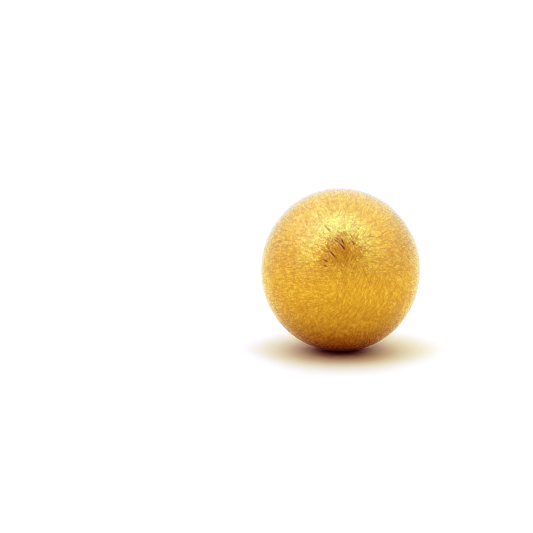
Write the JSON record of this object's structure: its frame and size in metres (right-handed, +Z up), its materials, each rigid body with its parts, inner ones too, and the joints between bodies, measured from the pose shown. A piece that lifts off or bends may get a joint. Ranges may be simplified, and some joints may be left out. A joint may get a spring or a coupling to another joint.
{
  "type": "ball stud earring",
  "caption": "Hollow satin-finish ball stud earring with a flat pad, a straight notched post and a push-on curled ear nut, at rest on a surface.",
  "frame": {"origin": "on the surface that the earring rests on, under the middle of its overall box", "axes": "+Z up, +Y from the ball towards the tip of the post, which leans down, and the front of the ball looks towards -Y"},
  "size_m": [0.0136, 0.0234, 0.014],
  "materials": {
    "satin_gold": "yellow gold, satin brushed by hand in short strokes that run every way",
    "polished_gold": "yellow gold, drawn and lightly polished"
  },
  "bodies": {
    "root": {"ball_and_post": "satin_gold", "ear_nut": "polished_gold"}
  },
  "joints": []
}
